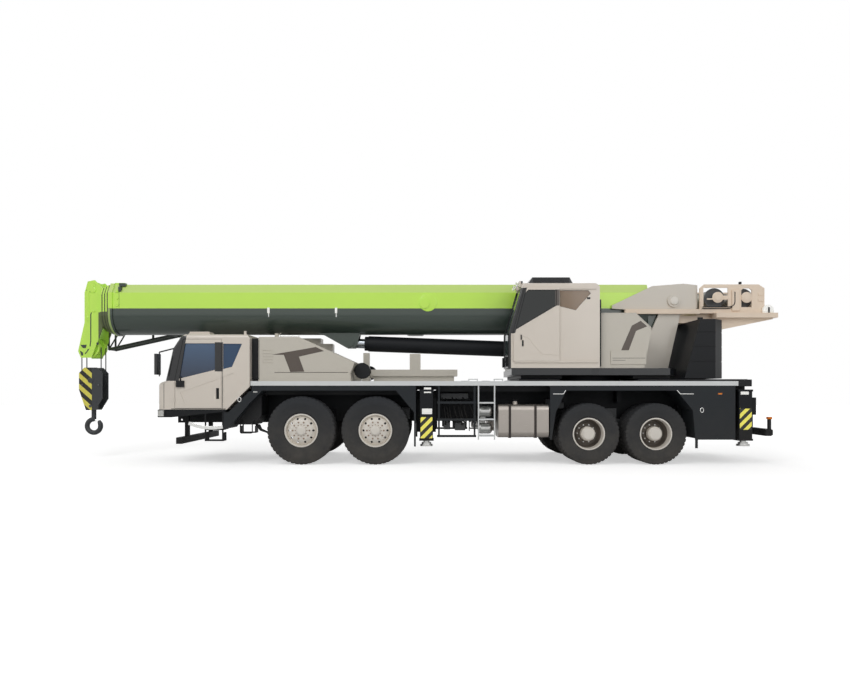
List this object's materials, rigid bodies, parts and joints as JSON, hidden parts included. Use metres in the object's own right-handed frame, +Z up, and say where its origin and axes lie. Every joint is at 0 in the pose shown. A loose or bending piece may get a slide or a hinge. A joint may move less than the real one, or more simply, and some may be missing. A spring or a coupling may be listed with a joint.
{
  "type": "four-axle telescopic truck crane",
  "caption": "Truck crane with a full-width cab, steered front axles, twin rear wheels, outriggers, and a slewing telescopic boom with hook.",
  "frame": {"origin": "on the ground, below the middle of the crane's box", "axes": "-X forward, +Y to the crane's right, +Z up"},
  "size_m": [14.94, 3.28, 3.87],
  "materials": {
    "frame_black": "satin",
    "deck_grey": "satin",
    "fender_dark": "satin",
    "cab_beige": "gloss",
    "hood_grey": "satin",
    "boom_lime": "gloss",
    "boom_dark": "satin",
    "jib_dark": "satin",
    "glass_tint": "gloss",
    "seat_black": "matte",
    "tyre_black": "matte",
    "rim_grey": "satin",
    "cast_grey": "matte",
    "tank_metal": "polished",
    "rod_chrome": "polished",
    "barrel_black": "satin",
    "counterweight_dark": "matte",
    "winch_beige": "satin",
    "hook_yellow": "satin"
  },
  "bodies": {
    "carrier": {"chassis_frame": "frame_black", "deck": "deck_grey", "fenders": "fender_dark", "cab_shell": "cab_beige", "cab_glass": "glass_tint", "cab_interior": "seat_black", "engine_hood": "hood_grey", "engine": "cast_grey", "axles": "cast_grey", "side_tanks": "tank_metal", "air_tanks": "tank_metal", "boom_rest": "hood_grey"},
    "cab_door_left": {"cab_door_left": "cab_beige"},
    "cab_door_right": {"cab_door_right": "cab_beige"},
    "superstructure": {"turntable": "frame_black", "machinery_covers": "hood_grey", "counterweight": "counterweight_dark", "operator_cab": "cab_beige", "operator_glass": "glass_tint", "operator_interior": "seat_black", "winch_frame": "winch_beige"},
    "operator_door": {"operator_door": "cab_beige"},
    "winch_drum_main": {"winch_drum_main": "cast_grey"},
    "winch_drum_auxiliary": {"winch_drum_auxiliary": "cast_grey"},
    "boom": {"boom_base": "boom_lime", "jib": "jib_dark"},
    "boom_section_second": {"boom_section_second": "boom_dark"},
    "boom_section_third": {"boom_section_third": "boom_dark"},
    "boom_head": {"boom_head": "boom_dark"},
    "lift_barrel": {"lift_barrel": "barrel_black"},
    "lift_rod": {"lift_rod": "rod_chrome"},
    "hook_block": {"hook_block": "hook_yellow"},
    "knuckle_first_left": {"knuckle_first_left": "cast_grey"},
    "wheel_first_left": {"tyre_first_left": "tyre_black", "rim_first_left": "rim_grey"},
    "knuckle_first_right": {"knuckle_first_right": "cast_grey"},
    "wheel_first_right": {"tyre_first_right": "tyre_black", "rim_first_right": "rim_grey"},
    "knuckle_second_left": {"knuckle_second_left": "cast_grey"},
    "wheel_second_left": {"tyre_second_left": "tyre_black", "rim_second_left": "rim_grey"},
    "knuckle_second_right": {"knuckle_second_right": "cast_grey"},
    "wheel_second_right": {"tyre_second_right": "tyre_black", "rim_second_right": "rim_grey"},
    "wheels_third_left": {"tyres_third_left": "tyre_black", "rims_third_left": "rim_grey"},
    "wheels_third_right": {"tyres_third_right": "tyre_black", "rims_third_right": "rim_grey"},
    "wheels_fourth_left": {"tyres_fourth_left": "tyre_black", "rims_fourth_left": "rim_grey"},
    "wheels_fourth_right": {"tyres_fourth_right": "tyre_black", "rims_fourth_right": "rim_grey"},
    "outrigger_beam_front_left": {"outrigger_beam_front_left": "frame_black"},
    "outrigger_jack_front_left": {"outrigger_jack_front_left": "cast_grey"},
    "outrigger_beam_front_right": {"outrigger_beam_front_right": "frame_black"},
    "outrigger_jack_front_right": {"outrigger_jack_front_right": "cast_grey"},
    "outrigger_beam_rear_left": {"outrigger_beam_rear_left": "frame_black"},
    "outrigger_jack_rear_left": {"outrigger_jack_rear_left": "cast_grey"},
    "outrigger_beam_rear_right": {"outrigger_beam_rear_right": "frame_black"},
    "outrigger_jack_rear_right": {"outrigger_jack_rear_right": "cast_grey"}
  },
  "joints": [
    {"name": "cab_door_left_hinge", "type": "hinge", "parent": "carrier", "child": "cab_door_left", "pos_m": [-4.908, -1.401, 1.44], "axis": [0, 0, -1], "range_deg": [0, 70]},
    {"name": "cab_door_right_hinge", "type": "hinge", "parent": "carrier", "child": "cab_door_right", "pos_m": [-4.908, 1.401, 1.44], "axis": [0, 0, 1], "range_deg": [0, 70]},
    {"name": "steer_first_left", "type": "hinge", "parent": "carrier", "child": "knuckle_first_left", "pos_m": [-2.4, -1.117, 0.682], "axis": [0, 0, 1], "range_deg": [-30, 30]},
    {"name": "spin_first_left", "type": "hinge", "parent": "knuckle_first_left", "child": "wheel_first_left", "pos_m": [-2.4, -1.197, 0.682], "axis": [0, 1, 0], "continuous": true},
    {"name": "steer_first_right", "type": "hinge", "parent": "carrier", "child": "knuckle_first_right", "pos_m": [-2.4, 1.117, 0.682], "axis": [0, 0, 1], "range_deg": [-30, 30]},
    {"name": "spin_first_right", "type": "hinge", "parent": "knuckle_first_right", "child": "wheel_first_right", "pos_m": [-2.4, 1.197, 0.682], "axis": [0, 1, 0], "continuous": true},
    {"name": "steer_second_left", "type": "hinge", "parent": "carrier", "child": "knuckle_second_left", "pos_m": [-0.92, -1.117, 0.682], "axis": [0, 0, 1], "range_deg": [-24, 24]},
    {"name": "spin_second_left", "type": "hinge", "parent": "knuckle_second_left", "child": "wheel_second_left", "pos_m": [-0.92, -1.197, 0.682], "axis": [0, 1, 0], "continuous": true},
    {"name": "steer_second_right", "type": "hinge", "parent": "carrier", "child": "knuckle_second_right", "pos_m": [-0.92, 1.117, 0.682], "axis": [0, 0, 1], "range_deg": [-24, 24]},
    {"name": "spin_second_right", "type": "hinge", "parent": "knuckle_second_right", "child": "wheel_second_right", "pos_m": [-0.92, 1.197, 0.682], "axis": [0, 1, 0], "continuous": true},
    {"name": "spin_third_left", "type": "hinge", "parent": "carrier", "child": "wheels_third_left", "pos_m": [3.34, -1.222, 0.613], "axis": [0, 1, 0], "continuous": true},
    {"name": "spin_third_right", "type": "hinge", "parent": "carrier", "child": "wheels_third_right", "pos_m": [3.34, 1.222, 0.613], "axis": [0, 1, 0], "continuous": true},
    {"name": "spin_fourth_left", "type": "hinge", "parent": "carrier", "child": "wheels_fourth_left", "pos_m": [4.68, -1.222, 0.613], "axis": [0, 1, 0], "continuous": true},
    {"name": "spin_fourth_right", "type": "hinge", "parent": "carrier", "child": "wheels_fourth_right", "pos_m": [4.68, 1.222, 0.613], "axis": [0, 1, 0], "continuous": true},
    {"name": "extend_front_left", "type": "slide", "parent": "carrier", "child": "outrigger_beam_front_left", "axis": [0, -1, 0], "range_m": [0, 1.7]},
    {"name": "lower_front_left", "type": "slide", "parent": "outrigger_beam_front_left", "child": "outrigger_jack_front_left", "axis": [0, 0, -1], "range_m": [0, 0.6]},
    {"name": "extend_front_right", "type": "slide", "parent": "carrier", "child": "outrigger_beam_front_right", "axis": [0, 1, 0], "range_m": [0, 1.7]},
    {"name": "lower_front_right", "type": "slide", "parent": "outrigger_beam_front_right", "child": "outrigger_jack_front_right", "axis": [0, 0, -1], "range_m": [0, 0.6]},
    {"name": "extend_rear_left", "type": "slide", "parent": "carrier", "child": "outrigger_beam_rear_left", "axis": [0, -1, 0], "range_m": [0, 1.7]},
    {"name": "lower_rear_left", "type": "slide", "parent": "outrigger_beam_rear_left", "child": "outrigger_jack_rear_left", "axis": [0, 0, -1], "range_m": [0, 0.6]},
    {"name": "extend_rear_right", "type": "slide", "parent": "carrier", "child": "outrigger_beam_rear_right", "axis": [0, 1, 0], "range_m": [0, 1.7]},
    {"name": "lower_rear_right", "type": "slide", "parent": "outrigger_beam_rear_right", "child": "outrigger_jack_rear_right", "axis": [0, 0, -1], "range_m": [0, 0.6]},
    {"name": "slew", "type": "hinge", "parent": "carrier", "child": "superstructure", "pos_m": [3.57, 0, 1.79], "axis": [0, 0, 1], "continuous": true},
    {"name": "operator_door_slide", "type": "slide", "parent": "superstructure", "child": "operator_door", "axis": [1, 0, 0], "range_m": [0, 0.7]},
    {"name": "winch_main_spin", "type": "hinge", "parent": "superstructure", "child": "winch_drum_main", "pos_m": [6.25, 0, 3.445], "axis": [0, 1, 0], "continuous": true},
    {"name": "winch_auxiliary_spin", "type": "hinge", "parent": "superstructure", "child": "winch_drum_auxiliary", "pos_m": [6.86, 0, 3.445], "axis": [0, 1, 0], "continuous": true},
    {"name": "luff", "type": "hinge", "parent": "superstructure", "child": "boom", "pos_m": [5.35, 0, 3.38], "axis": [0, 1, 0], "range_deg": [0, 78]},
    {"name": "telescope_second", "type": "slide", "parent": "boom", "child": "boom_section_second", "axis": [-1, 0, 0], "range_m": [0, 9]},
    {"name": "telescope_third", "type": "slide", "parent": "boom_section_second", "child": "boom_section_third", "axis": [-1, 0, 0], "range_m": [0, 9]},
    {"name": "telescope_head", "type": "slide", "parent": "boom_section_third", "child": "boom_head", "axis": [-1, 0, 0], "range_m": [0, 9]},
    {"name": "lift_pivot", "type": "hinge", "parent": "superstructure", "child": "lift_barrel", "pos_m": [2.6, 0, 2.365], "axis": [0, 1, 0], "range_deg": [0, 92.4]},
    {"name": "lift_rod_slide", "type": "slide", "parent": "lift_barrel", "child": "lift_rod", "axis": [-0.9993, 0, 0.0373], "range_m": [0, 3.457]},
    {"name": "hook_swing", "type": "hinge", "parent": "boom_head", "child": "hook_block", "pos_m": [-7.22, 0, 2.42], "axis": [0, 1, 0], "range_deg": [-80, 10]}
  ],
  "couplings": [
    {"joint": "steer_first_right", "follows": "steer_first_left", "ratio": 1},
    {"joint": "steer_second_left", "follows": "steer_first_left", "ratio": 0.77},
    {"joint": "steer_second_right", "follows": "steer_first_left", "ratio": 0.77},
    {"joint": "lift_pivot", "follows": "luff", "ratio": 1.1723},
    {"joint": "lift_rod_slide", "follows": "luff", "m_per_rad": 2.5323},
    {"joint": "hook_swing", "follows": "luff", "ratio": -1}
  ]
}
